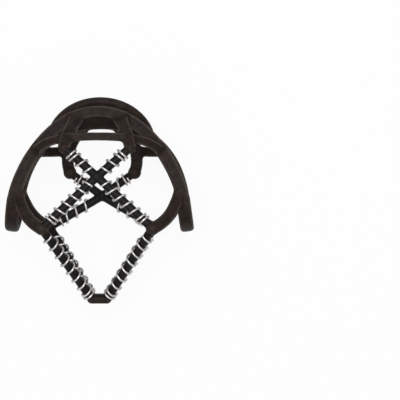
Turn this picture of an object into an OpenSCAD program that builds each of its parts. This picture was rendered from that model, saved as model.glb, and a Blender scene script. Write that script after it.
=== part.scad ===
// Slip-on coil ice cleat, folded in half at the midfoot.
// X is across the foot, Y runs from the midfoot bar to the toe and heel ends, Z is up.
// The heel half lies sole down. The toe half is folded over it with its sole up.

/* [Net] */
// Width across the two side bands
net_w = 96; // [90:0.5:106]
// Height between the toe cords and the heel cords when folded
fold_gap = 56; // [50:0.5:70]
// How far the rim stands off the cords, towards the shoe
rim_rise = 14; // [11:0.5:17]
// From the midfoot bar to the blunt ends of the side bands
band_start = 34.5; // [30:0.5:38]
// Angle at which the side bands toe out
band_splay = 8; // [4:1:12]
// From the midfoot bar to the side nodes
node_y = 36.3; // [32:0.1:40]
// From the middle to a side node
node_x = 27.7; // [25:0.1:30]

/* [Toe half] */
// From the midfoot bar to the middle of the toe band
toe_rim_y = 95.6; // [90:0.1:105]
// Reach of the toe band's curve to each side
toe_bow = 25; // [20:0.5:32]
// From the midfoot bar to the toe crossing
toe_cross_y = 62.2; // [59:0.1:65]
// From the middle to the toe cord's end
toe_cord_x = 16.6; // [15:0.1:19]
// From the midfoot bar to the toe cord's end
toe_cord_y = 76.8; // [74:0.1:79]
// From the midfoot bar to the middle of the toe rail
toe_rail_y = 82.4; // [81:0.1:86]

/* [Heel half] */
// From the midfoot bar to the middle of the heel band
heel_rim_y = 89.9; // [86:0.1:94]
// Reach of the heel band's curve to each side
heel_bow = 34; // [28:0.5:37]
// From the midfoot bar to the heel crossing
heel_cross_y = 52.7; // [50:0.1:54]
// From the middle to the heel cord's end
heel_cord_x = 17; // [15.5:0.1:19]
// From the midfoot bar to the heel cord's end
heel_cord_y = 65; // [63:0.1:67]
// From the midfoot bar to the heel rails
heel_rail_y = 75; // [72:0.1:78]
// From the midfoot bar to the crest of the pull tab
tab_y = 101.4; // [97:0.1:106]
// Half width of the pull tab at its shoulders
tab_x = 25.5; // [22:0.5:28]
// Height of the pull tab's crest over the heel band
tab_rise = 8; // [5:0.5:12]

/* [Rubber sections] */
// Width of the rim at the sides
rim_w = 6.4; // [5:0.1:8]
// Width of the rim at the toe and heel ends
rim_end_w = 4.8; // [4:0.1:6]
// Thickness of the rim
rim_h = 5; // [4:0.1:6]
// Width of the rails
rail_w = 4.2; // [3.5:0.1:5]
// Thickness of the rails
rail_h = 4.6; // [4:0.1:5.5]
// Width of the spokes
spoke_w = 6.4; // [5:0.1:7.5]
// Thickness of the spokes
spoke_h = 5; // [4:0.1:6]
// Width of the side arms
arm_w = 6.4; // [5.4:0.1:7.4]
// Thickness of the side arms
arm_h = 5; // [4:0.1:6]
// Thickness of the pull tab's wall
tab_wall = 3.2; // [2.5:0.1:4]
// Diameter of the rolled edge of the pull tab
tab_bead = 4.4; // [3.8:0.1:5.5]
// Diameter of the cords
cord_d = 4.4; // [3.8:0.1:5]

/* [Midfoot bar] */
// Length of the bar between the round ends of the V cords
bar_len = 2.4; // [2:0.1:5]
// Thickness of the bar
bar_d = 4.9; // [4.4:0.1:6]
// Height between the bar's two bend lines
bar_h = 9; // [8.5:0.1:12]

/* [Coils] */
// Diameter of the steel wire
wire_d = 1.1; // [0.9:0.05:1.3]
// Clearance between a cord and its coil
coil_fit = 0.15; // [0.1:0.05:0.3]
// Pitch of the open turns, before each coil is stretched to fill its cord
coil_pitch = 5.3; // [4.6:0.1:6.2]
// Pitch of the close turns at each coil's outer end
close_pitch = 1.8; // [1.75:0.05:2.2]
// Gap at each bend, and between neighbouring coils
run_gap = 0.3; // [0.25:0.05:0.4]

/* [Hidden] */

TOE = 0;
HEEL = 1;
LEFT = -1;
RIGHT = 1;
$fn = 48;
RUBBER = "#332c29";
CORD = "#262220";
STEEL = "#c9cbcc";

// A coil has eight rings a turn, so its chords lie nearer to the cord than its corners do.
curl_rings = 8;
curl_sides = 6;
cord_r = cord_d / 2;
coil_r = (cord_r + coil_fit + wire_d / 2) / cos(180 / curl_rings);
coil_out = coil_r + wire_d / 2;
floor_gap = 0.1;
sole_z = coil_out + floor_gap;
boss_r = sole_z;
toe_boss_r = 3.3;
boss_fn = 20;
// The seat of a cord in its boss has flats that clear the round cord.
seat_d = cord_d / cos(180 / boss_fn);
room_fn = 16;
cross_r = cord_r + 1.2;
// The V cords end in balls a little thicker than the cord.
ball_r = cord_r + 0.15;

plane_z = [sole_z + fold_gap, sole_z];
inward = [-1, 1];
mid_z = sole_z + fold_gap / 2;
turn_r = fold_gap / 2 - rim_rise;
turn_y = band_start + (turn_r + rim_h / 2) * cos(band_splay);
rim_x = net_w / 2 - rim_w / 2 - turn_r * sin(band_splay);
rim_y = [toe_rim_y, heel_rim_y];
bow = [toe_bow, heel_bow];
side_run = 13;
cross_y = [toe_cross_y, heel_cross_y];
cord_x = [toe_cord_x, heel_cord_x];
cord_y = [toe_cord_y, heel_cord_y];

// Where the rails, spokes and arms leave the rim, from 0 at its middle to 1 at the side band
spoke_at = [0.15, 0.1];
rail_at = [0.56, 0.5];
arm_at = 0.8;

bar_end = bar_len / 2 + run_gap + ball_r;
bar_z = [mid_z + bar_h / 2, mid_z - bar_h / 2];
// The part's origin is under the middle of its length.
shift_y = (tab_y + tab_bead / 2 - bar_d / 2) / 2;

function level(half, d) = plane_z[half] + inward[half] * d;
function unit(v) = v / norm(v);
function toward(a, b, d) = a + unit(b - a) * d;
function flip(p, side) = [side * p[0], p[1], p[2]];

// A point and a tangent of a cubic curve with four control points
function curve(c, t) =
    pow(1 - t, 3) * c[0] + 3 * t * pow(1 - t, 2) * c[1] + 3 * t * t * (1 - t) * c[2] + pow(t, 3) * c[3];
function slope(c, t) =
    pow(1 - t, 2) * (c[1] - c[0]) + 2 * t * (1 - t) * (c[2] - c[1]) + t * t * (c[3] - c[2]);

// An arch is a curve and its mirror image, with u from -1 at the left to 1 at the right.
function arch(c, u) = flip(curve(c, 1 - abs(u)), u < 0 ? -1 : 1);
function arch_slope(c, u) =
    u < 0 ? flip(slope(c, 1 + u), -1) : -slope(c, 1 - u);

function rim_curve(half) = [
    [rim_x, turn_y, level(half, rim_rise)],
    [rim_x - side_run * sin(band_splay), turn_y + side_run * cos(band_splay), level(half, rim_rise)],
    [bow[half], rim_y[half], level(half, rim_rise)],
    [0, rim_y[half], level(half, rim_rise)]
];
function rim_width(u) = rim_end_w + (rim_w - rim_end_w) * min(1, 1.6 * abs(u));

// Fixed points of the cords
function side_node(half, side) = [side * node_x, node_y, plane_z[half]];
function cord_end(half, side) = [side * cord_x[half], cord_y[half], plane_z[half]];
function crossing(half) = [0, cross_y[half], plane_z[half]];
function bar_corner(half, side) = [side * bar_end, 0, bar_z[half]];

// The rubber round an open bend, from the rim to the cord's end
function spoke_curve(half) = half == TOE
    ? [arch(rim_curve(half), spoke_at[half]),
       [0.8 * cord_x[half], rim_y[half] - 8, level(half, 0.4 * rim_rise)],
       [cord_x[half] - 0.5, toe_rail_y - 2, level(half, 0)],
       cord_end(half, RIGHT)]
    : [arch(rim_curve(half), spoke_at[half]),
       [0.72 * cord_x[half], heel_rail_y + 12, level(half, -0.2 * rim_rise)],
       [cord_x[half] + 4.5, heel_rail_y + 1.5, level(half, -1)],
       cord_end(half, RIGHT)];
function arm_curve(half) =
    let (start = arch(rim_curve(half), arm_at), end = side_node(half, RIGHT))
    [start,
     [rim_x - 0.25 * rim_w, turn_y - 0.4 * turn_r, level(half, 0.7 * rim_rise)],
     [end[0] + 2 * boss_r, end[1] + 0.3 * boss_r, level(half, 0.3 * rim_rise)],
     end];
function toe_rail_curve() =
    let (start = arch(rim_curve(TOE), rail_at[TOE]))
    [start,
     start + [-6, 6.5, 0.75 * rim_rise],
     [toe_cord_x, toe_rail_y, level(TOE, 1.5)],
     [0, toe_rail_y, level(TOE, 2)]];
function heel_rail_curve() =
    let (start = arch(rim_curve(HEEL), rail_at[HEEL]) - [0, 0, 0.2 * rim_h], end = curve(spoke_curve(HEEL), 0.62))
    [start,
     start + [-5, 1, -0.55 * rim_rise],
     [end[0] + 6, heel_rail_y, end[2] - 0.6],
     end];

// One ring of a section with flat sides and round corners
section_sides = 10;
section_round = 0.72;
function soft(c) = sign(c) * pow(abs(c), section_round);
function ring(p, t, w, h) =
    let (side = unit(cross(t, [0, 0, 1])), up = unit(cross(side, t)))
    [for (k = [0 : section_sides - 1])
        let (a = 360 * (k + 0.5) / section_sides)
        p + side * soft(cos(a)) * w / 2 + up * soft(sin(a)) * h / 2];

// Joins equal rings of points into one closed tube, with triangles only. A left-hand coil has its triangles mirrored.
module tube(rings, hand = 1) {
    n = len(rings[0]);
    m = len(rings);
    points = [for (r = rings) for (p = r) p];
    walls = [for (i = [0 : m - 2]) for (k = [0 : n - 1])
        let (a = i * n + k, b = i * n + (k + 1) % n)
        each hand > 0 ? [[a, b, b + n], [a, b + n, a + n]] : [[a, b, a + n], [b, b + n, a + n]]];
    first = [for (k = [1 : n - 2]) [0, k + 1, k]];
    last = [for (k = [1 : n - 2]) [(m - 1) * n, (m - 1) * n + k, (m - 1) * n + k + 1]];
    polyhedron(points, concat(walls, first, last));
}

// The same walls as a row of short hulls, for the branches that are trimmed where they meet
module chain(rings) {
    for (i = [0 : len(rings) - 2]) hull() tube([rings[i], rings[i + 1]]);
}

function steps(from, to, n) = [for (i = [0 : n]) from + (to - from) * i / n];

// Rim of one half between two places on its arch
module rim(half, from, to, n) {
    c = rim_curve(half);
    tube([for (u = steps(from, to, n)) ring(arch(c, u), arch_slope(c, u), rim_width(u), rim_h)]);
}
rim_steps = 32;
module whole_rim(half) { rim(half, -1, 1, rim_steps); }
// The stretch of rim that a branch meets, on the same rings as the whole rim
module rim_near(half, side, at) {
    i = round((side * at + 1) * rim_steps / 2);
    low = max(0, i - 4);
    high = min(rim_steps, i + 4);
    rim(half, 2 * low / rim_steps - 1, 2 * high / rim_steps - 1, high - low);
}

module sided(side) {
    if (side == LEFT) mirror([1, 0, 0]) children();
    else children();
}
module branch(c, w0, w1, h0, h1, n) {
    chain([for (t = steps(0, 1, n)) ring(curve(c, t), slope(c, t), w0 + (w1 - w0) * t, h0 + (h1 - h0) * t)]);
}
module bar_from(a, b, d) {
    v = b - a;
    translate(a) rotate([0, acos(v[2] / norm(v)), atan2(v[1], v[0])]) cylinder(d = d, h = norm(v));
}

// Cords of one half, crossing in a fused node
module cords(half) {
    c = crossing(half);
    for (side = [LEFT, RIGHT]) for (end = [cord_end(half, side), node_stop(half, side)])
        bar_from(toward(c, end, cross_r / 3), end, cord_d);
}
// The cord stops short of the bend at the side node.
function node_stop(half, side) =
    let (n = side_node(half, side), c = crossing(half))
    toward(n, c, ball_r + run_gap + 0.6);
module cross_cords(half) {
    color(CORD) union() {
        cords(half);
        translate(crossing(half)) sphere(r = cross_r);
    }
}

module spoke_solid(half) {
    branch(spoke_curve(half), spoke_w, spoke_w - 0.6, spoke_h, spoke_h, 9);
    translate(cord_end(half, RIGHT)) sphere(r = half == TOE ? toe_boss_r : boss_r, $fn = boss_fn);
}
module spoke(half, side) {
    color(RUBBER) sided(side) difference() {
        union() spoke_solid(half);
        rim_near(half, RIGHT, spoke_at[half]);
        bar_from(crossing(half), cord_end(half, RIGHT), seat_d, $fn = boss_fn);
    }
}

// Unfolding turns each V cord flat, about the X axis through its bends.
function leg(half, side) = side_node(half, side) - bar_corner(half, side);
function leg_tilt(half) = atan2(abs(leg(half, RIGHT)[2]), leg(half, RIGHT)[1]);
module vee(half, side) {
    color(CORD) union() {
        bar_from(bar_corner(half, side), side_node(half, side), cord_d);
        translate(bar_corner(half, side)) sphere(r = ball_r);
        translate(side_node(half, side)) sphere(r = ball_r);
    }
}
// Room that a V cord sweeps at its side node, from folded to flat
module vee_room(half) {
    n = side_node(half, RIGHT);
    reach = unit(-leg(half, RIGHT)) * 2 * boss_r;
    flat = [reach[0], -norm([reach[1], reach[2]]), 0];
    translate(n) sphere(r = ball_r + run_gap);
    for (k = [0, 0.5, 1]) bar_from(n, n + reach * (1 - k) + flat * k, cord_d + 2 * run_gap);
}

// An arm rises out of the rim's sole side just before the side band and bends in to its side node.
module arm(half, side) {
    color(RUBBER) sided(side) difference() {
        union() {
            branch(arm_curve(half), arm_w - 1, arm_w - 0.4, arm_h - 1, arm_h + 0.8, 10);
            translate(side_node(half, RIGHT)) sphere(r = boss_r, $fn = boss_fn);
        }
        rim_near(half, RIGHT, arm_at);
        side_turn(180, run_gap, $fn = 64);
        bar_from(crossing(half), node_stop(half, RIGHT), seat_d, $fn = boss_fn);
        vee_room(half, $fn = room_fn);
    }
}

module toe_band() { color(RUBBER) whole_rim(TOE); }
module heel_band() { color(RUBBER) whole_rim(HEEL); }

module toe_rail() {
    c = toe_rail_curve();
    color(RUBBER) difference() {
        chain([for (u = steps(-1, 1, 24)) ring(arch(c, u), arch_slope(c, u), rail_w, rail_h)]);
        for (side = [LEFT, RIGHT]) {
            rim_near(TOE, side, rail_at[TOE]);
            sided(side) union() spoke_solid(TOE);
        }
    }
}
module heel_rail(side) {
    color(RUBBER) sided(side) difference() {
        branch(heel_rail_curve(), rail_w + 0.6, rail_w, rail_h, rail_h - 1, 8);
        rim_near(HEEL, RIGHT, rail_at[HEEL]);
        union() spoke_solid(HEEL);
    }
}

// Pull tab: a wall from the heel band up to a rolled crest
tab_from = 0.36;
// A share of the way from the tab's foot to its crest
function tab_foot_y(share) = let (foot = curve(rim_curve(HEEL), 1 - tab_from)[1]) foot + share * (tab_y - foot);
function tab_curve() = [
    [tab_x, tab_foot_y(0.15), level(HEEL, rim_rise + 0.25 * tab_rise)],
    [0.92 * tab_x, tab_foot_y(0.55), level(HEEL, rim_rise + 0.7 * tab_rise)],
    [0.55 * tab_x, tab_y, level(HEEL, rim_rise + tab_rise)],
    [0, tab_y, level(HEEL, rim_rise + tab_rise)]
];
function tab_ring(u) =
    let (foot = arch(rim_curve(HEEL), u * tab_from), crest = arch(tab_curve(), u),
         up = unit(crest - foot), out = unit(cross(arch_slope(tab_curve(), u), up)),
         tall = norm(crest - foot), wall = tab_wall / 2)
    [for (q = [[0, -wall], [tall, -wall], [tall, wall], [0, wall]]) foot + up * q[0] + out * q[1]];
module heel_pull_tab() {
    c = tab_curve();
    places = steps(-1, 1, 20);
    color(RUBBER) difference() {
        union() {
            chain([for (u = places) tab_ring(u)]);
            chain([for (u = places) ring(arch(c, u), arch_slope(c, u), tab_bead, tab_bead)]);
        }
        whole_rim(HEEL);
    }
}

// Side band: the rim turns from the heel half up to the toe half in a half circle, and bends with the fold.
module side_turn(turn, room) {
    profile = ring([0, 0, 0], [0, 1, 0], rim_width(1) + 2 * room, rim_h + 2 * room);
    translate([rim_x, turn_y, mid_z]) rotate([0, 0, band_splay])
        multmatrix([[0, 0, -1, 0], [0, -1, 0, 0], [-1, 0, 0, 0]])
        rotate_extrude(angle = turn) polygon([for (p = profile) [turn_r + p[2], p[0]]]);
}
module side_band(side) {
    color(RUBBER) sided(side) side_turn(180 - asin(run_gap / turn_r), 0);
}

module midfoot_bar() {
    color(RUBBER) translate([-bar_len / 2, 0, mid_z]) rotate([90, 0, 90]) linear_extrude(bar_len) {
        for (s = [-1, 1]) translate([0, s * bar_h / 2]) circle(d = bar_d);
        square([bar_d, bar_h], center = true);
    }
}

// A coil starts with close turns behind its cord, opens to fill the cord and ends just past the front.
// Its hand is 1 for a right-hand helix.
close_turns = 1.5;
end_turn = 0.625;
function coil_turns(room) =
    round(close_turns + (room - close_turns * close_pitch) / coil_pitch - end_turn) + end_turn;
function coil_rise(n, pitch) = min(n, close_turns) * close_pitch + max(0, n - close_turns) * pitch;
function coil_point(i, pitch, hand) =
    let (n = i / curl_rings) [coil_r * cos(360 * n), hand * coil_r * sin(360 * n), coil_rise(n, pitch)];
function coil_ring(i, last, pitch, hand) =
    let (p = coil_point(i, pitch, hand),
         t = coil_point(min(i + 1, last), pitch, hand) - coil_point(max(i - 1, 0), pitch, hand),
         out = unit([p[0], p[1], 0] - t * ([p[0], p[1], 0] * t) / (t * t)), up = unit(cross(out, t)))
    [for (k = [0 : curl_sides - 1])
        p + wire_d / 2 * (out * cos(360 * k / curl_sides) + up * sin(360 * k / curl_sides))];
module coil(half, from, to, hand) {
    v = to - from;
    turns = coil_turns(norm(v));
    pitch = (norm(v) - close_turns * close_pitch) / (turns - close_turns);
    last = turns * curl_rings;
    color(STEEL) translate(from) rotate([0, acos(v[2] / norm(v)), atan2(v[1], v[0])])
        rotate([0, 0, half == TOE ? 0 : 180])
        tube([for (i = [0 : last]) coil_ring(i, last, pitch, hand)], hand);
}

// Bare cord at a crossing, so that neighbouring coils pass clear of each other
function angle_between(a, b) = acos(unit(a) * unit(b));
function cross_bare(half) =
    let (a = angle_between(cord_end(half, RIGHT) - crossing(half), side_node(half, RIGHT) - crossing(half)) / 2)
    (coil_out * cos(a) + run_gap / 2) / sin(a) + wire_d / 2;
// The left coils mirror the right ones, and the heel coils mirror the toe ones.
winding = [1, -1];
module coil_upper(half, side) {
    boss = half == TOE ? toe_boss_r : boss_r;
    coil(half, toward(cord_end(half, side), crossing(half), boss + run_gap + wire_d / 2),
         toward(crossing(half), cord_end(half, side), cross_bare(half)),
         side * winding[half]);
}
module coil_lower(half, side) {
    coil(half, toward(side_node(half, side), crossing(half), boss_r + run_gap + wire_d),
         toward(crossing(half), side_node(half, side), cross_bare(half)),
         -side * winding[half]);
}
module coil_vee(half, side) {
    coil(half, toward(bar_corner(half, side), side_node(half, side), ball_r),
         toward(side_node(half, side), bar_corner(half, side), boss_r + run_gap + wire_d),
         -side * winding[half]);
}

module place() { translate([0, -shift_y, 0]) children(); }

place() toe_band();
place() toe_rail();
place() spoke(TOE, LEFT);  // toe_spoke_left
place() spoke(TOE, RIGHT);  // toe_spoke_right
place() arm(TOE, LEFT);  // toe_arm_left
place() arm(TOE, RIGHT);  // toe_arm_right
place() cross_cords(TOE);  // toe_cross
place() vee(TOE, LEFT);  // toe_vee_left
place() vee(TOE, RIGHT);  // toe_vee_right
place() heel_band();
place() heel_pull_tab();
place() heel_rail(LEFT);  // heel_rail_left
place() heel_rail(RIGHT);  // heel_rail_right
place() spoke(HEEL, LEFT);  // heel_spoke_left
place() spoke(HEEL, RIGHT);  // heel_spoke_right
place() arm(HEEL, LEFT);  // heel_arm_left
place() arm(HEEL, RIGHT);  // heel_arm_right
place() cross_cords(HEEL);  // heel_cross
place() vee(HEEL, LEFT);  // heel_vee_left
place() vee(HEEL, RIGHT);  // heel_vee_right
place() midfoot_bar();
place() side_band(LEFT);  // side_band_left
place() side_band(RIGHT);  // side_band_right
place() coil_upper(TOE, LEFT);  // toe_coil_upper_left
place() coil_upper(TOE, RIGHT);  // toe_coil_upper_right
place() coil_lower(TOE, LEFT);  // toe_coil_lower_left
place() coil_lower(TOE, RIGHT);  // toe_coil_lower_right
place() coil_vee(TOE, LEFT);  // toe_coil_vee_left
place() coil_vee(TOE, RIGHT);  // toe_coil_vee_right
place() coil_upper(HEEL, LEFT);  // heel_coil_upper_left
place() coil_upper(HEEL, RIGHT);  // heel_coil_upper_right
place() coil_lower(HEEL, LEFT);  // heel_coil_lower_left
place() coil_lower(HEEL, RIGHT);  // heel_coil_lower_right
place() coil_vee(HEEL, LEFT);  // heel_coil_vee_left
place() coil_vee(HEEL, RIGHT);  // heel_coil_vee_right
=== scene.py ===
"""A slip-on ice cleat folded in half at the midfoot: a moulded rubber net with wire coils round its cords.

Shapes are worked out in millimetres with the midfoot bar at y = 0, then moved to the part's frame in metres.
"""
import math

import bmesh
import bpy
import numpy as np
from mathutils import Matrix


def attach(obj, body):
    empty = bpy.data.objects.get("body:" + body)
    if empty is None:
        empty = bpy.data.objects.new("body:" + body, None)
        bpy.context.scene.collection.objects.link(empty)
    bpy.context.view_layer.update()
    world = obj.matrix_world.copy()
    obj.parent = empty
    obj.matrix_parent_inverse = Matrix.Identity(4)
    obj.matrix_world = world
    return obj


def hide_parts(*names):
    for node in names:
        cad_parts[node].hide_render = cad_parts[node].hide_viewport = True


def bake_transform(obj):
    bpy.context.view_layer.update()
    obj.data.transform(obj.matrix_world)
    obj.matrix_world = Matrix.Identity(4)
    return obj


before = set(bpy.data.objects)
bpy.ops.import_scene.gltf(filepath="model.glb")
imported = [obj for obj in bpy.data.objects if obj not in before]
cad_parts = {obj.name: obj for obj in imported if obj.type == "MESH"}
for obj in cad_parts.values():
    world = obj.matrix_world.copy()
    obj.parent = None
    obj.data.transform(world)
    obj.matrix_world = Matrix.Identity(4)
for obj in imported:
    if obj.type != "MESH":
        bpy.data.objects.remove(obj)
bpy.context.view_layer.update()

# Sizes of the cleat in millimetres, the same as the part's own
NET_W = 96.0
FOLD_GAP = 56.0
RIM_RISE = 14.0
BAND_START = 34.5
BAND_SPLAY = math.radians(8)
NODE = (27.7, 36.3)
TOE_RIM_Y, TOE_BOW, TOE_CROSS_Y, TOE_RAIL_Y = 95.6, 25.0, 62.2, 82.4
HEEL_RIM_Y, HEEL_BOW, HEEL_CROSS_Y, HEEL_RAIL_Y = 89.9, 34.0, 52.7, 75.0
TOE_CORD, HEEL_CORD = (16.6, 76.8), (17.0, 65.0)
TAB_X, TAB_Y, TAB_RISE, TAB_FROM = 25.5, 101.4, 8.0, 0.36
RIM_W, RIM_END_W, RIM_H, RIM_RUN = 6.4, 4.8, 5.0, 13.0
RAIL_W, RAIL_H = 4.2, 4.6
SPOKE_W, SPOKE_H = 6.4, 5.0
ARM_W, ARM_H = 6.4, 5.0
TAB_WALL, TAB_BEAD = 3.2, 4.4
CORD_R, CORD_BALL_R, CROSS_R = 2.2, 2.25, 2.95
BAR_END, BAR_D, BAR_H = 3.85, 4.9, 9.0
WIRE_R, COIL_R = 0.55, 2.98
COIL_PITCH, CLOSE_PITCH, CLOSE_TURNS, END_TURN = 5.3, 1.8, 1.5, 0.625
COIL_FIT, COIL_SIDES, SOLE_LIFT = 0.15, 8, 0.1
TOE_BOSS_R, RUN_GAP, BALL_R = 3.3, 0.3, 2.35

# Places that follow from those sizes
SOLID_COIL_OUT = (CORD_R + COIL_FIT + WIRE_R) / math.cos(math.radians(180 / COIL_SIDES)) + WIRE_R
SOLE_Z = SOLID_COIL_OUT + SOLE_LIFT
MID_Z = SOLE_Z + FOLD_GAP / 2
TURN_R = FOLD_GAP / 2 - RIM_RISE
TURN_Y = BAND_START + (TURN_R + RIM_H / 2) * math.cos(BAND_SPLAY)
RIM_X = NET_W / 2 - RIM_W / 2 - TURN_R * math.sin(BAND_SPLAY)
SHIFT_Y = (TAB_Y + TAB_BEAD / 2 - BAR_D / 2) / 2
BOSS_R = SOLE_Z

# The two halves, and what each has of a pair of values
TOE, HEEL = 0, 1
PLANE_Z = (SOLE_Z + FOLD_GAP, SOLE_Z)
INWARD = (-1, 1)
BAR_Z = (MID_Z + BAR_H / 2, MID_Z - BAR_H / 2)
RIM_Y, BOW = (TOE_RIM_Y, HEEL_RIM_Y), (TOE_BOW, HEEL_BOW)
CORD, CROSS_Y = (TOE_CORD, HEEL_CORD), (TOE_CROSS_Y, HEEL_CROSS_Y)
SPOKE_AT, RAIL_AT, ARM_AT = (0.15, 0.1), (0.56, 0.5), 0.8
WINDING = (1, -1)

# The moulded skin: straps start a little fuller, because melting shrinks them, and their faces are sunk by a
# share of the thickness between rolled edges. Balls in the bosses are a little smaller than the solid ones.
# The web of a fork lies between two distances from where rim and arm part, and these cover its sides.
SKIN = 0.3
NET_BALL_R = (TOE_BOSS_R - SKIN, BOSS_R - 0.25)
RIM_DISH, STRAP_DISH, RAIL_DISH = 0.26, 0.16, 0.12
WEB_FROM, WEB_TO, WEB_H, WEB_COVERED, WEB_LEAST = 3.0, 16.5, 4.8, 4.0, 0.6
NET_VOXEL, NET_ROUNDS, CORD_VOXEL, CORD_ROUNDS, BAR_ROUNDS = 0.33, 56, 0.3, 6, 8

# Camera: straight over the sole, far enough that the far half looks a little smaller than the near one
CAMERA_X, CAMERA_Z = 51.5, 1100.0
PX_PER_MM, FRAME_PX, SENSOR = 2.0, 400.0, 36.0
camera = bpy.data.objects.new("camera", bpy.data.cameras.new("camera"))
camera.location = (CAMERA_X / 1000, 0.0, CAMERA_Z / 1000)
camera.data.sensor_width = SENSOR
camera.data.lens = SENSOR * PX_PER_MM * (CAMERA_Z - PLANE_Z[TOE]) / FRAME_PX
bpy.context.scene.collection.objects.link(camera)
bpy.context.scene.camera = camera


def unit(v):
    """Each vector over its own length."""
    return v / np.linalg.norm(v, axis=-1, keepdims=True)


def level(half, d):
    """Height d inside the sole plane of one half."""
    return PLANE_Z[half] + INWARD[half] * d


def curve(c, t):
    """Cubic curve: the four control points weighted by the Bernstein terms of t."""
    c = np.asarray(c, float)
    t = np.asarray(t, float)[..., None]
    return (1 - t) ** 3 * c[0] + 3 * t * (1 - t) ** 2 * c[1] + 3 * t * t * (1 - t) * c[2] + t ** 3 * c[3]


def arch(c, u):
    """A curve and its mirror image: u runs from -1 at the left end over 0 in the middle to 1 at the right."""
    u = np.asarray(u, float)
    p = curve(c, 1 - np.abs(u))
    return p * np.stack([np.where(u < 0, -1.0, 1.0), np.ones_like(u), np.ones_like(u)], -1)


def mirrored(p):
    """The same points on the left side."""
    return p * np.array([-1.0, 1.0, 1.0])


def rim_curve(half):
    """Right half of a rim: a cubic from the side band, along its splay, over to the middle of the far end."""
    z = level(half, RIM_RISE)
    return [(RIM_X, TURN_Y, z),
            (RIM_X - RIM_RUN * math.sin(BAND_SPLAY), TURN_Y + RIM_RUN * math.cos(BAND_SPLAY), z),
            (BOW[half], RIM_Y[half], z), (0, RIM_Y[half], z)]


def side_node(half):
    """The point on the right where arm, X cord and V cord meet, in the half's sole plane."""
    return np.array([NODE[0], NODE[1], PLANE_Z[half]])


def cord_end(half):
    """The point where the right spoke takes up its X cord, in the half's sole plane."""
    return np.array([CORD[half][0], CORD[half][1], PLANE_Z[half]])


def crossing(half):
    """The point where the X cords cross, on the middle line of the half's sole plane."""
    return np.array([0.0, CROSS_Y[half], PLANE_Z[half]])


def bar_corner(half):
    """The right end of the midfoot bar on one half's side, where the V cord starts."""
    return np.array([BAR_END, 0.0, BAR_Z[half]])


def spoke_curve(half):
    """Right spoke: a cubic from the rim into the sole plane, where the heel's bows out past its rail."""
    start = arch(rim_curve(half), SPOKE_AT[half])
    x = CORD[half][0]
    if half == TOE:
        return [start, (0.8 * x, TOE_RIM_Y - 8, level(half, 0.62 * RIM_RISE)),
                (x - 0.5, TOE_RAIL_Y - 2, level(half, 0)), cord_end(half)]
    return [start, (0.72 * x, HEEL_RAIL_Y + 12, level(half, -0.2 * RIM_RISE)),
            (x + 4.5, HEEL_RAIL_Y + 1.5, level(half, -1)), cord_end(half)]


def arm_curve(half):
    """Right arm: a cubic that leaves the rim almost level with it and bends in and down to the side node."""
    start, end = arch(rim_curve(half), ARM_AT), side_node(half)
    return [start, (RIM_X - 0.25 * RIM_W, TURN_Y - 0.24 * TURN_R, level(half, 0.92 * RIM_RISE)),
            (end[0] + 2 * BOSS_R, end[1] + 0.9 * BOSS_R, level(half, 0.35 * RIM_RISE)), end]


def toe_rail_curve():
    """Right half of the toe rail: a cubic from the rim past the spoke to the middle, near the sole plane."""
    start = arch(rim_curve(TOE), RAIL_AT[TOE])
    return [start, start + np.array([-6, 6.5, 0.75 * RIM_RISE]),
            (TOE_CORD[0], TOE_RAIL_Y, level(TOE, 1.5)), (0, TOE_RAIL_Y, level(TOE, 2))]


def heel_rail_curve():
    """Right heel rail: a cubic from the sole side of the rim across to a point on the spoke."""
    start = arch(rim_curve(HEEL), RAIL_AT[HEEL]) - [0, 0, 0.2 * RIM_H]
    end = curve(spoke_curve(HEEL), 0.62)
    return [start, start + np.array([-5, 1, -0.55 * RIM_RISE]),
            (end[0] + 6, HEEL_RAIL_Y, end[2] - 0.6), end]


def tab_curve():
    """Right half of the pull tab's crest: a cubic from beside the heel rim, up and back to the middle."""
    foot = curve(rim_curve(HEEL), 1 - TAB_FROM)[1]
    top = level(HEEL, RIM_RISE + TAB_RISE)
    return [(TAB_X, foot + 0.15 * (TAB_Y - foot), level(HEEL, RIM_RISE + 0.25 * TAB_RISE)),
            (0.92 * TAB_X, foot + 0.55 * (TAB_Y - foot), level(HEEL, RIM_RISE + 0.7 * TAB_RISE)),
            (0.55 * TAB_X, TAB_Y, top), (0, TAB_Y, top)]


def tube_faces(rings, sides):
    """Faces of a closed tube, with a cap at each end.

    Corner k of ring i joins corner k + 1 of that ring and the same two corners of ring i + 1.
    """
    i, k = np.meshgrid(np.arange(rings - 1), np.arange(sides), indexing="ij")
    a, b = i * sides + k, i * sides + (k + 1) % sides
    walls = np.stack([a, b, b + sides, a + sides], -1).reshape(-1, 4)
    cap = np.arange(sides)[None]
    return [walls, cap[:, ::-1], cap + (rings - 1) * sides]


def strip(path, width, height, dish=0.0, side=None, sides=56, roundness=0.42):
    """A strap: a rounded rectangle carried along a path, w/2 soft(cos a) across and h/2 soft(sin a) up.

    soft(c) is |c| to the power of roundness with c's sign. The height is then lessened by the share
    dish / (1 + (soft(cos a) / 0.66)^8), which sinks the two faces evenly and leaves their edges standing as
    rolls. Width, height and dish may change along the path. Gives the points, ring by ring, and the faces.
    """
    path = np.asarray(path, float)
    tangent = unit(np.gradient(path, axis=0))
    across = unit(np.cross(tangent, [0, 0, 1.0])) if side is None else np.broadcast_to(side, path.shape)
    up = np.cross(across, tangent)
    a = 2 * np.pi * (np.arange(sides) + 0.5) / sides
    x = np.sign(np.cos(a)) * np.abs(np.cos(a)) ** roundness
    z = np.sign(np.sin(a)) * np.abs(np.sin(a)) ** roundness
    w, h, sink = (np.broadcast_to(v, len(path))[:, None] for v in (width, height, dish))
    x, z = x * w / 2, z * (1 - sink / (1 + (x / 0.66) ** 8)) * h / 2
    points = path[:, None] + across[:, None] * x[:, :, None] + up[:, None] * z[:, :, None]
    return points.reshape(-1, 3), tube_faces(len(path), sides)


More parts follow.
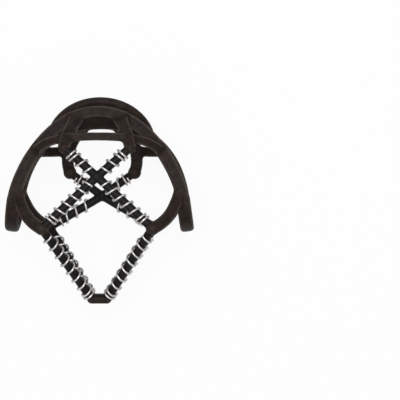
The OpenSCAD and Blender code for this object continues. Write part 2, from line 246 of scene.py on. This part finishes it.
def swell(t, start, over):
    """A share that grows from start at t = 0 to 1 at t = over, by k k (3 - 2 k) with k = t / over."""
    k = np.clip(t / over, 0, 1)
    return start + (1 - start) * k * k * (3 - 2 * k)


def round_rod(path, radius, sides=24):
    """A round tube: at each path point a circle of that radius square to the path."""
    path = np.asarray(path, float)
    tangent = unit(np.gradient(path, axis=0))
    guide = np.where(np.abs(tangent[:, 2:]) < 0.9, [[0, 0, 1.0]], [[0, 1.0, 0]])
    across = unit(np.cross(tangent, guide))
    up = np.cross(across, tangent)
    a = 2 * np.pi * np.arange(sides) / sides
    r = np.broadcast_to(radius, len(path))[:, None, None]
    points = path[:, None] + r * (across[:, None] * np.cos(a)[:, None] + up[:, None] * np.sin(a)[:, None])
    return points.reshape(-1, 3), tube_faces(len(path), sides)


def ball(centre, radius, rings=14, sides=24):
    """A sphere by latitude and longitude, with a small flat at each pole."""
    lat = np.linspace(-0.98, 0.98, rings) * np.pi / 2
    lon = 2 * np.pi * np.arange(sides) / sides
    round_one = np.stack([np.outer(np.cos(lat), np.cos(lon)), np.outer(np.cos(lat), np.sin(lon)),
                          np.outer(np.sin(lat), np.ones(sides))], -1)
    return np.asarray(centre) + radius * round_one.reshape(-1, 3), tube_faces(rings, sides)


def gather(shells):
    """Several shells as one: their points in a row, each shell's face numbers raised by the points before."""
    starts = np.cumsum([0] + [len(points) for points, _ in shells])
    faces = [block + start for (_, blocks), start in zip(shells, starts) for block in blocks]
    return np.concatenate([points for points, _ in shells]), faces


def make_mesh(name, points, faces):
    """A mesh from an array of points and a list of face arrays, each with faces of one corner count."""
    mesh = bpy.data.meshes.new(name)
    mesh.from_pydata(np.asarray(points).tolist(), [], [face for block in faces for face in block.tolist()])
    mesh.update()
    return mesh


def co(mesh):
    """The mesh's points as one array."""
    p = np.zeros(len(mesh.vertices) * 3, np.float64)
    mesh.vertices.foreach_get("co", p)
    return p.reshape(-1, 3)


def set_co(mesh, points):
    """Puts an array of points into the mesh."""
    mesh.vertices.foreach_set("co", np.asarray(points, np.float32).ravel())
    mesh.update()


def outward(mesh):
    """Turns every shell's faces outwards."""
    bm = bmesh.new()
    bm.from_mesh(mesh)
    bmesh.ops.recalc_face_normals(bm, faces=bm.faces)
    bm.to_mesh(mesh)
    bm.free()


def vertex_normals(mesh):
    """The normals at the mesh's points as one array."""
    n = np.zeros(len(mesh.vertices) * 3)
    mesh.vertices.foreach_get("normal", n)
    return n.reshape(-1, 3)


def neighbours(mesh):
    """The numbers of the two points of every edge, one row each."""
    edges = np.zeros(len(mesh.edges) * 2, np.int32)
    mesh.edges.foreach_get("vertices", edges)
    return edges.reshape(-1, 2)


def mean_of_neighbours(values, edges):
    """For each point the mean of the values at the points that share an edge with it."""
    n = len(values)
    a, b = edges.T
    count = np.bincount(a, minlength=n) + np.bincount(b, minlength=n)
    flat = values.reshape(n, -1)
    total = np.stack([np.bincount(a, c[b], n) + np.bincount(b, c[a], n) for c in flat.T], -1)
    return (total / np.maximum(count, 1)[:, None]).reshape(values.shape)


def moulded(name, parts, voxel, rounds):
    """Melts overlapping shells into one skin on a voxel grid and relaxes it, so inner corners get fillets.

    Each round moves the points of hollow places half way to the mean of their neighbours. The other points do
    so in the first two rounds and then hardly move, so edges stay crisp. The attribute crown keeps how far
    each point stands out from its neighbours along its normal, over the voxel squared. It is high on edges.
    """
    shell = make_mesh(name + "_shell", *gather(parts))
    outward(shell)
    holder = bpy.data.objects.new(name + "_shell", shell)
    bpy.context.scene.collection.objects.link(holder)
    remesh = holder.modifiers.new("melt", "REMESH")
    remesh.mode = "VOXEL"
    remesh.voxel_size = voxel
    mesh = bpy.data.meshes.new_from_object(holder.evaluated_get(bpy.context.evaluated_depsgraph_get()))
    bpy.data.objects.remove(holder)
    bpy.data.meshes.remove(shell)
    edges = neighbours(mesh)
    for k in range(rounds):
        points, normals = co(mesh), vertex_normals(mesh)
        step = mean_of_neighbours(points, edges) - points
        hollow = (step * normals).sum(1, keepdims=True) > 0
        set_co(mesh, points + step * np.where(hollow, 0.5, 0.5 if k < 2 else 0.05))
    points, normals = co(mesh), vertex_normals(mesh)
    stand = ((points - mean_of_neighbours(points, edges)) * normals).sum(1) / voxel ** 2
    for _ in range(3):
        stand = stand + 0.6 * (mean_of_neighbours(stand, edges) - stand)
    crown = mesh.attributes.new("crown", "FLOAT", "POINT")
    crown.data.foreach_set("value", np.clip(stand, -1, 1).astype(np.float32))
    mesh.name = name
    return mesh


def cut(mesh, name, planes):
    """A copy of the mesh on the inner side of each plane (point, normal out), closed where it was cut."""
    bm = bmesh.new()
    bm.from_mesh(mesh)
    for point, normal in planes:
        geometry = bm.verts[:] + bm.edges[:] + bm.faces[:]
        made = bmesh.ops.bisect_plane(bm, geom=geometry, plane_co=point, plane_no=normal, clear_outer=True)
        rim = [e for e in made["geom_cut"] if isinstance(e, bmesh.types.BMEdge)]
        bmesh.ops.edgenet_fill(bm, edges=rim)
    part = bpy.data.meshes.new(name)
    bm.to_mesh(part)
    bm.free()
    return part


def piece(name, mesh, material):
    """Moves a mesh from working millimetres to the part's frame in metres and makes it an object."""
    set_co(mesh, (co(mesh) - np.array([0, SHIFT_Y, 0])) / 1000)
    mesh.polygons.foreach_set("use_smooth", np.ones(len(mesh.polygons), bool))
    mesh.set_sharp_from_angle(angle=math.radians(50))
    mesh.materials.clear()
    mesh.materials.append(material)
    made = bpy.data.objects.new(name, mesh)
    bpy.context.scene.collection.objects.link(made)
    return made


def linear(hex_colour):
    """An sRGB hex colour as linear red, green, blue and a full alpha."""
    s = np.array([int(hex_colour[i:i + 2], 16) for i in (1, 3, 5)]) / 255
    return (*np.where(s <= 0.04045, s / 12.92, ((s + 0.055) / 1.055) ** 2.4).tolist(), 1.0)


def add(tree, kind, settings=None, values=None, links=None):
    """Adds a node with its settings and socket values, and links its inputs from other nodes' outputs."""
    made = tree.nodes.new(kind)
    for key, value in (settings or {}).items():
        setattr(made, key, value)
    for key, value in (values or {}).items():
        made.inputs[key].default_value = value
    for key, source in (links or {}).items():
        tree.links.new(source, made.inputs[key])
    return made


def per_mm(size_mm):
    """Noise scale that gives features of about that size, on coordinates in metres: 1000 over the size."""
    return 1000 / size_mm


def new_material(name):
    """An empty node material with a principled shader on its output."""
    made = bpy.data.materials.new(name)
    made.use_nodes = True
    tree = made.node_tree
    tree.nodes.clear()
    shader = add(tree, "ShaderNodeBsdfPrincipled")
    add(tree, "ShaderNodeOutputMaterial", links={"Surface": shader.outputs[0]})
    return made, tree, shader


def moulded_rubber(name, deep, mid, edge_highlight_tint, roughness):
    """Moulded synthetic rubber: a satin skin with fine mould grain, with rolled edges painted paler as a
    highlight.
    """
    made, tree, shader = new_material(name)
    place = add(tree, "ShaderNodeTexCoord").outputs["Object"]

    # Cured rubber blooms in cloudy patches a few millimetres wide
    cloud = add(tree, "ShaderNodeTexNoise", values={"Scale": per_mm(4), "Detail": 4, "Roughness": 0.65},
                links={"Vector": place})
    bloom = add(tree, "ShaderNodeMapRange", values={1: 0.32, 2: 0.68, 3: 0.0, 4: 1.0},
                links={0: cloud.outputs["Fac"]})
    base = add(tree, "ShaderNodeMix", {"data_type": "RGBA"}, {6: linear(deep), 7: linear(mid)},
               {0: bloom.outputs[0]})

    # Painted highlight: rolled edges are painted paler, more in some places than in others
    crown = add(tree, "ShaderNodeAttribute", {"attribute_name": "crown"})
    edge = add(tree, "ShaderNodeMapRange", values={1: 0.08, 2: 0.2, 3: 0.0, 4: 0.95},
               links={0: crown.outputs["Fac"]})
    patchy = add(tree, "ShaderNodeTexNoise", values={"Scale": per_mm(5), "Detail": 3, "Roughness": 0.6},
                 links={"Vector": place})
    painted_highlight = add(tree, "ShaderNodeMath", {"operation": "MULTIPLY", "use_clamp": True},
              links={0: edge.outputs[0], 1: patchy.outputs["Fac"]})
    highlighted = add(tree, "ShaderNodeMix", {"data_type": "RGBA"}, {7: linear(edge_highlight_tint)},
               {0: painted_highlight.outputs[0], 6: base.outputs[2]})
    tree.links.new(highlighted.outputs[2], shader.inputs["Base Color"])

    # The mould's grain of about 0.1 mm is too fine to show, so it is drawn at 1.1 mm
    grain = add(tree, "ShaderNodeTexNoise", values={"Scale": per_mm(1.1), "Detail": 4, "Roughness": 0.7},
                links={"Vector": place})
    rough = add(tree, "ShaderNodeMapRange", links={0: grain.outputs["Fac"]},
                values={1: 0.3, 2: 0.7, 3: roughness - 0.07, 4: roughness + 0.09})
    tree.links.new(rough.outputs[0], shader.inputs["Roughness"])
    bump = add(tree, "ShaderNodeBump", values={"Strength": 0.5, "Distance": 0.00014},
               links={"Height": grain.outputs["Fac"]})
    tree.links.new(bump.outputs[0], shader.inputs["Normal"])
    shader.inputs["IOR"].default_value = 1.5
    shader.inputs["Specular IOR Level"].default_value = 0.11
    return made


def zinc_wire(name):
    """Zinc-plated spring steel: bright drawn wire with faint die lines along it and duller specks."""
    made, tree, shader = new_material(name)

    # Die lines run along the wire, each about 8 mm long and 0.13 mm wide, coarser than real so that they show
    on_wire = add(tree, "ShaderNodeUVMap", {"uv_map": "wire"}).outputs[0]
    stretch = add(tree, "ShaderNodeMapping", values={"Scale": (0.12, 26.0, 1.0)}, links={"Vector": on_wire})
    lines = add(tree, "ShaderNodeTexNoise", values={"Scale": 1.0, "Detail": 3, "Roughness": 0.6},
                links={"Vector": stretch.outputs[0]})
    rough = add(tree, "ShaderNodeMapRange", values={1: 0.3, 2: 0.7, 3: 0.22, 4: 0.4},
                links={0: lines.outputs["Fac"]})
    tree.links.new(rough.outputs[0], shader.inputs["Roughness"])
    bump = add(tree, "ShaderNodeBump", values={"Strength": 0.2, "Distance": 0.00003},
               links={"Height": lines.outputs["Fac"]})
    tree.links.new(bump.outputs[0], shader.inputs["Normal"])

    # Specks where the plating is duller
    place = add(tree, "ShaderNodeTexCoord").outputs["Object"]
    speck = add(tree, "ShaderNodeTexNoise", values={"Scale": per_mm(1.6), "Detail": 4, "Roughness": 0.6},
                links={"Vector": place})
    shade = add(tree, "ShaderNodeMapRange", values={1: 0.35, 2: 0.65, 3: 0.0, 4: 1.0},
                links={0: speck.outputs["Fac"]})
    colour = add(tree, "ShaderNodeMix", {"data_type": "RGBA"}, {6: linear("#a9a6a4"), 7: linear("#cdcac7")},
                 {0: shade.outputs[0]})
    tree.links.new(colour.outputs[2], shader.inputs["Base Color"])
    shader.inputs["Metallic"].default_value = 1.0
    return made


# The net's rubber gives a dull brown-black face, a little cloudy, with thin pale lines painted along its
# edges as a highlight. The cords' rubber is blacker and evener, with the same painted edge highlight. The
# wire is bright metal with the white room in it, in thin streaks.
NET_RUBBER = moulded_rubber("moulded_net_rubber", "#140d0b", "#2e231d", "#5a4d44", 0.5)
CORD_RUBBER = moulded_rubber("moulded_cord_rubber", "#0e0c0d", "#1b1819", "#2b2828", 0.46)
WIRE = zinc_wire("zinc_plated_wire")


def turn_path(a):
    """The rim's half circle in the splayed plane: r sin a towards the midfoot and r cos a below the axis.

    The angle a is 0 at the heel half and pi at the toe half.
    """
    back, rise = -np.sin(a) * TURN_R, -np.cos(a) * TURN_R
    x, y = RIM_X - back * math.sin(BAND_SPLAY), TURN_Y + back * math.cos(BAND_SPLAY)
    return np.stack([x, y, MID_Z + rise], -1)


def side_turn():
    """The straps of the side bands along both half circles, less dished and rounder where they bend most."""
    a = np.linspace(-0.02, 1.02, 41) * np.pi
    axis = np.array([math.cos(BAND_SPLAY), math.sin(BAND_SPLAY), 0.0])
    dish = RIM_DISH * np.cos(a) ** 2
    right = strip(turn_path(a), RIM_W + 0.7, RIM_H + SKIN, dish=dish, side=axis, roundness=0.56)
    return [right, (mirrored(right[0]), right[1])]


def along(path, d):
    """The points at the distances d along a path of points."""
    run = np.concatenate([[0], np.cumsum(np.linalg.norm(np.diff(path, axis=0), axis=1))])
    return np.stack([np.interp(d, run, c) for c in path.T], -1)


def fork_web(half):
    """The web in the fork of rim and arm: straight rules between points equally far along both, as a strap.

    Gives the middles of the rules, their lengths less what rim and arm cover, and their directions.
    """
    a = np.linspace(0, 0.3, 40) * np.pi
    rim = np.concatenate([arch(rim_curve(half), np.linspace(ARM_AT, 1, 40))[:-1],
                          turn_path(np.pi - a if half == TOE else a)])
    d = np.linspace(WEB_FROM, WEB_TO, 28)
    p, q = along(rim, d), along(curve(arm_curve(half), np.linspace(0, 1, 80)), d)
    width = np.maximum(np.linalg.norm(p - q, axis=1) - WEB_COVERED, WEB_LEAST)
    return (p + q) / 2, width, unit(p - q)


def half_net(half):
    """All rubber straps of one half, each a strip along its curve whose size swells away from its root.

    These are the rim, and on each side a spoke, an arm and the web between rim and arm, with balls where the
    cords start. The toe half has one rail from rim to rim and the heel half one on each side.
    """
    u = np.linspace(-1, 1, 121)
    rim_w = RIM_END_W + (RIM_W - RIM_END_W) * np.minimum(1, 1.6 * np.abs(u)) + SKIN
    parts = [strip(arch(rim_curve(half), u), rim_w, RIM_H + SKIN, dish=RIM_DISH)]
    t = np.linspace(0, 1, 31)
    sunk = STRAP_DISH * swell(1 - t, 0, 0.4)
    for flip in (lambda p: p, mirrored):
        wide = (SPOKE_W + SKIN - 0.6 * t) * (1.22 - 0.22 * swell(t, 0, 0.3))
        tall = (SPOKE_H + SKIN) * swell(t, 0.4, 0.45)
        parts.append(strip(flip(curve(spoke_curve(half), t)), wide, tall, dish=sunk))
        parts.append(ball(flip(cord_end(half)), NET_BALL_R[half]))
        wide = (ARM_W - 0.7 + 0.6 * t) * swell(t, 0.6, 0.4)
        tall = (ARM_H - 0.7 + 1.8 * t) * swell(t, 0.35, 0.8)
        parts.append(strip(flip(curve(arm_curve(half), t)), wide, tall, dish=sunk))
        parts.append(ball(flip(side_node(half)), BOSS_R - SKIN))
        web, wide, edge = fork_web(half)
        s = np.linspace(0, 1, len(web))
        tall = WEB_H * swell(s, 0.6, 0.5) * swell(1 - s, 0.4, 0.35)
        parts.append(strip(flip(web), wide, tall, side=flip(edge)))
        if half == HEEL:
            rail = flip(curve(heel_rail_curve(), t))
            parts.append(strip(rail, RAIL_W + 0.9, RAIL_H + SKIN, dish=RAIL_DISH))
    if half == TOE:
        u = np.linspace(-1, 1, 81)
        tall = (RAIL_H + SKIN) * swell(1 - np.abs(u), 0.5, 0.3)
        parts.append(strip(arch(toe_rail_curve(), u), RAIL_W - 0.2 + 0.8 * np.abs(u), tall, dish=RAIL_DISH))
    return parts


def pull_tab():
    """A wall from the heel rim to a rolled crest: straight rules between both curves, half a wall each way.

    The crest is a rounded strip, and each end of the wall is a round rod with a ball on top.
    """
    u = np.linspace(-1, 1, 61)
    foot, crest = arch(rim_curve(HEEL), u * TAB_FROM), arch(tab_curve(), u)
    rise = unit(crest - foot)
    out = unit(np.cross(np.gradient(crest, axis=0), rise)) * (TAB_WALL + 0.2) / 2
    wall = np.stack([foot - out, crest - out, crest + out, foot + out], 1).reshape(-1, 3)
    bead = TAB_BEAD + 0.2
    ends = [round_rod(np.linspace(foot[i], crest[i], 12), TAB_WALL / 2 + 0.25) for i in (0, -1)]
    knobs = [ball(crest[i], TAB_BEAD / 2 + 0.1) for i in (0, -1)]
    return [(wall, tube_faces(len(u), 4)), strip(crest, bead, bead, roundness=0.7)] + ends + knobs


net = moulded("net", half_net(TOE) + half_net(HEEL) + pull_tab() + side_turn(), NET_VOXEL, NET_ROUNDS)

# The net is cut where its side bands bend: half way round each quarter of the turn, and in the middle.
AXIS = np.array([0.0, TURN_Y, MID_Z])
LOW, HIGH = unit(np.array([0.0, -1.0, 1.0])), unit(np.array([0.0, -1.0, -1.0]))
UP, DOWN = np.array([0.0, 0.0, 1.0]), np.array([0.0, 0.0, -1.0])
heel_net = piece("heel_net", cut(net, "heel_net", [(AXIS, UP), (AXIS, LOW)]), NET_RUBBER)
band_low = piece("side_bands_low", cut(net, "side_bands_low", [(AXIS, UP), (AXIS, -LOW)]), NET_RUBBER)
band_high = piece("side_bands_high", cut(net, "side_bands_high", [(AXIS, DOWN), (AXIS, -HIGH)]), NET_RUBBER)
toe_net = piece("toe_net", cut(net, "toe_net", [(AXIS, DOWN), (AXIS, HIGH)]), NET_RUBBER)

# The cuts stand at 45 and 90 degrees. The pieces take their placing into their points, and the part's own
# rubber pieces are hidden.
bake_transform(heel_net)
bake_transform(toe_net)
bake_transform(band_low)
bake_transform(band_high)
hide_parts("toe_band", "toe_rail", "toe_spoke_left", "toe_spoke_right", "toe_arm_left",
            "toe_arm_right")
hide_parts("heel_band", "heel_pull_tab", "heel_rail_left", "heel_rail_right", "heel_spoke_left",
            "heel_spoke_right", "heel_arm_left", "heel_arm_right")
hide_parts("side_band_left", "side_band_right")

# Cords: the cross of each half, fused where the cords meet, and the V cords with round ends in the side nodes
for half, name in ((TOE, "toe"), (HEEL, "heel")):
    c = crossing(half)
    ends = (cord_end(half), mirrored(cord_end(half)), side_node(half), mirrored(side_node(half)))
    rods = [round_rod(np.linspace(c, end, 24), CORD_R) for end in ends]
    skin = moulded(name + "_cross_cords", rods + [ball(c, CROSS_R)], CORD_VOXEL, CORD_ROUNDS)
    cross = piece(name + "_cross_cords", skin, CORD_RUBBER)
    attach(cross, name + "_half")
    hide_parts(name + "_cross")
    for sign, side in ((-1, "left"), (1, "right")):
        flip = np.array([sign, 1.0, 1.0])
        a, b = side_node(half) * flip, bar_corner(half) * flip
        leg = [round_rod(np.linspace(a, b, 40), CORD_R), ball(a, CORD_BALL_R), ball(b, CORD_BALL_R)]
        skin = moulded(f"{name}_v_cord_{side}", leg, CORD_VOXEL, CORD_ROUNDS)
        vee = piece(f"{name}_v_cord_{side}", skin, CORD_RUBBER)
        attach(vee, name + "_vee")
        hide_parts(f"{name}_vee_{side}")


def level_line(half_length, count, z):
    """Evenly spaced points on a level line across the midfoot, as far left as right."""
    x = np.linspace(-half_length, half_length, count)
    return np.stack([x, np.zeros(count), np.full(count, z)], -1)


# Midfoot bar: the two cross cords between the V corners, with a web between them
bar_parts = [round_rod(level_line(BAR_END, 20, z), BAR_D / 2) for z in BAR_Z]
bar_parts += [ball((s * BAR_END, 0, z), BAR_D / 2 + 0.05) for s in (-1, 1) for z in BAR_Z]
bar_parts.append(strip(level_line(3.2, 12, MID_Z), BAR_D, BAR_H))
bar_skin = moulded("midfoot_bar_moulded", bar_parts, CORD_VOXEL, BAR_ROUNDS)
bar = piece("midfoot_bar_moulded", bar_skin, NET_RUBBER)
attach(bar, "midfoot")
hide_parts("midfoot_bar")


def coil_mesh(name, half, start, end, hand):
    """A wire wound round the line from start to end: some close turns, then turns at the open pitch.

    At turn n the wire's middle is at r (cos 2 pi n, hand sin 2 pi n) and rises close_pitch n in the close
    turns and the open pitch for each turn after them, with the pitch easing from one to the other. The open
    pitch is what fills the cord with a whole number of turns and a bit more, so the wire ends just past the
    front. The wire's own circle is square to that path, and its ends are chamfered.
    """
    v = end - start
    room = np.linalg.norm(v)
    spare = room - CLOSE_TURNS * CLOSE_PITCH
    turns = math.floor(CLOSE_TURNS + spare / COIL_PITCH - END_TURN + 0.5) + END_TURN
    pitch = spare / (turns - CLOSE_TURNS)
    steps, sides, ease, chamfer = 36, 12, 0.12, 0.62
    n = np.linspace(0, turns, int(turns * steps) + 1)
    open_part = ease * np.logaddexp(0, (n - CLOSE_TURNS) / ease)
    rise = CLOSE_PITCH * n + (pitch - CLOSE_PITCH) * open_part
    back = COIL_R if half == TOE else -COIL_R
    path = np.stack([back * np.cos(2 * np.pi * n), hand * back * np.sin(2 * np.pi * n), rise], -1)
    tangent = unit(np.gradient(path, axis=0))
    radial = unit(path * np.array([1, 1, 0]))
    out = unit(radial - tangent * (radial * tangent).sum(1, keepdims=True))
    side = np.cross(tangent, out)
    a = 2 * np.pi * np.arange(sides) / sides
    r = np.full(len(n), WIRE_R)
    r[[0, -1]] *= chamfer
    ring = out[:, None] * np.cos(a)[:, None] + side[:, None] * np.sin(a)[:, None]
    points = (path[:, None] + r[:, None, None] * ring).reshape(-1, 3)
    d = v / room
    theta, phi = math.acos(d[2]), math.atan2(d[1], d[0])
    turn_y = np.array([[math.cos(theta), 0, math.sin(theta)], [0, 1, 0],
                       [-math.sin(theta), 0, math.cos(theta)]])
    turn_z = np.array([[math.cos(phi), -math.sin(phi), 0], [math.sin(phi), math.cos(phi), 0], [0, 0, 1]])
    mesh = make_mesh(name, start + points @ (turn_z @ turn_y).T, tube_faces(len(n), sides))
    uv = mesh.uv_layers.new(name="wire")
    corner = np.zeros(len(mesh.loops), np.int32)
    mesh.loops.foreach_get("vertex_index", corner)
    length = 2 * np.pi * COIL_R * n
    wire_uv = np.stack([length[corner // sides], (corner % sides) / sides], -1)
    uv.data.foreach_set("uv", wire_uv.astype(np.float32).ravel())
    outward(mesh)
    return mesh


def toward(a, b, d):
    """The point d from a on the way to b."""
    return a + unit(b - a) * d


# Coils: one on each cord, from just clear of the boss or the bar to just clear of the other cord's coil
for half, name in ((TOE, "toe"), (HEEL, "heel")):
    for sign, side in ((-1, "left"), (1, "right")):
        flip = np.array([sign, 1.0, 1.0])
        c, top, node = crossing(half), cord_end(half) * flip, side_node(half) * flip
        corner = bar_corner(half) * flip
        angle = math.acos(np.dot(unit(top - c), unit(node - c))) / 2
        bare = (SOLID_COIL_OUT * math.cos(angle) + RUN_GAP / 2) / math.sin(angle) + WIRE_R
        boss = TOE_BOSS_R if half == TOE else BOSS_R
        ends = {
            "upper": (toward(top, c, boss + RUN_GAP + WIRE_R), toward(c, top, bare)),
            "lower": (toward(node, c, BOSS_R + RUN_GAP + 2 * WIRE_R), toward(c, node, bare)),
            "vee": (toward(corner, node, BALL_R), toward(node, corner, BOSS_R + RUN_GAP + 2 * WIRE_R)),
        }
        for where, (a, b) in ends.items():
            cad = f"{name}_coil_{where}_{side}"
            hand = sign * WINDING[half] * (1 if where == "upper" else -1)
            wound = piece(cad + "_wire", coil_mesh(cad + "_wire", half, a, b, hand), WIRE)
            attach(wound, cad + "_body")
            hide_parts(cad)


def backdrop_rays(tree):
    """One for rays that show the background, from the camera, from gloss or through glass, else nought."""
    ray = add(tree, "ShaderNodeLightPath")
    seen = add(tree, "ShaderNodeMath", {"operation": "MAXIMUM"},
               links={0: ray.outputs["Is Camera Ray"], 1: ray.outputs["Is Glossy Ray"]})
    return add(tree, "ShaderNodeMath", {"operation": "MAXIMUM"},
               links={0: seen.outputs[0], 1: ray.outputs["Is Transmission Ray"]}).outputs[0]


# Floor: a white sheet of matt paper that glows for those rays and keeps a little of the object's shadow
FLOOR_HALF, FLOOR_GLOW = 2.0, 0.92
floor_corners = np.array([[-1, -1, 0], [1, -1, 0], [1, 1, 0], [-1, 1, 0]]) * FLOOR_HALF
floor_mesh = make_mesh("floor", floor_corners, [np.arange(4)[None]])
floor = bpy.data.objects.new("floor", floor_mesh)
bpy.context.scene.collection.objects.link(floor)
sheet, tree, shader = new_material("white_sheet")
shader.inputs["Base Color"].default_value = linear("#fbfbfb")
shader.inputs["Roughness"].default_value = 0.9
shader.inputs["Specular IOR Level"].default_value = 0.0
glow = add(tree, "ShaderNodeEmission", values={"Color": linear("#ffffff"), "Strength": 1.0})
seen = add(tree, "ShaderNodeMath", {"operation": "MULTIPLY"}, {1: FLOOR_GLOW}, {0: backdrop_rays(tree)})
both = add(tree, "ShaderNodeMixShader", links={0: seen.outputs[0], 1: shader.outputs[0], 2: glow.outputs[0]})
tree.links.new(both.outputs[0], next(n for n in tree.nodes if n.type == "OUTPUT_MATERIAL").inputs["Surface"])
floor_mesh.materials.append(sheet)

# Room: white to those rays, and a dimmer even light on the object
ROOM_LIGHT, ROOM_WHITE = 0.45, 1.0
world = bpy.data.worlds.new("room")
bpy.context.scene.world = world
world.use_nodes = True
tree = world.node_tree
tree.nodes.clear()
strength = add(tree, "ShaderNodeMapRange", values={3: ROOM_LIGHT, 4: ROOM_WHITE},
               links={0: backdrop_rays(tree)})
sky = add(tree, "ShaderNodeBackground", values={"Color": linear("#ffffff")},
          links={"Strength": strength.outputs[0]})
add(tree, "ShaderNodeOutputWorld", links={"Surface": sky.outputs[0]})

# One broad soft lamp high over the object, a little towards its rims, aimed at it
LAMP_W, LAMP_SIZE, LAMP_Y, LAMP_Z = 4.8, 0.6, 0.12, 0.95
AIM_Z = 0.03
lamp = bpy.data.objects.new("soft_lamp", bpy.data.lights.new("soft_lamp", "AREA"))
lamp.data.shape = "DISK"
lamp.data.size = LAMP_SIZE
lamp.data.energy = LAMP_W
lamp.location = (0.0, LAMP_Y, LAMP_Z)
lamp.rotation_euler = (-math.atan2(LAMP_Y, LAMP_Z - AIM_Z), 0, 0)
bpy.context.scene.collection.objects.link(lamp)
bpy.context.scene.view_settings.view_transform = "Standard"
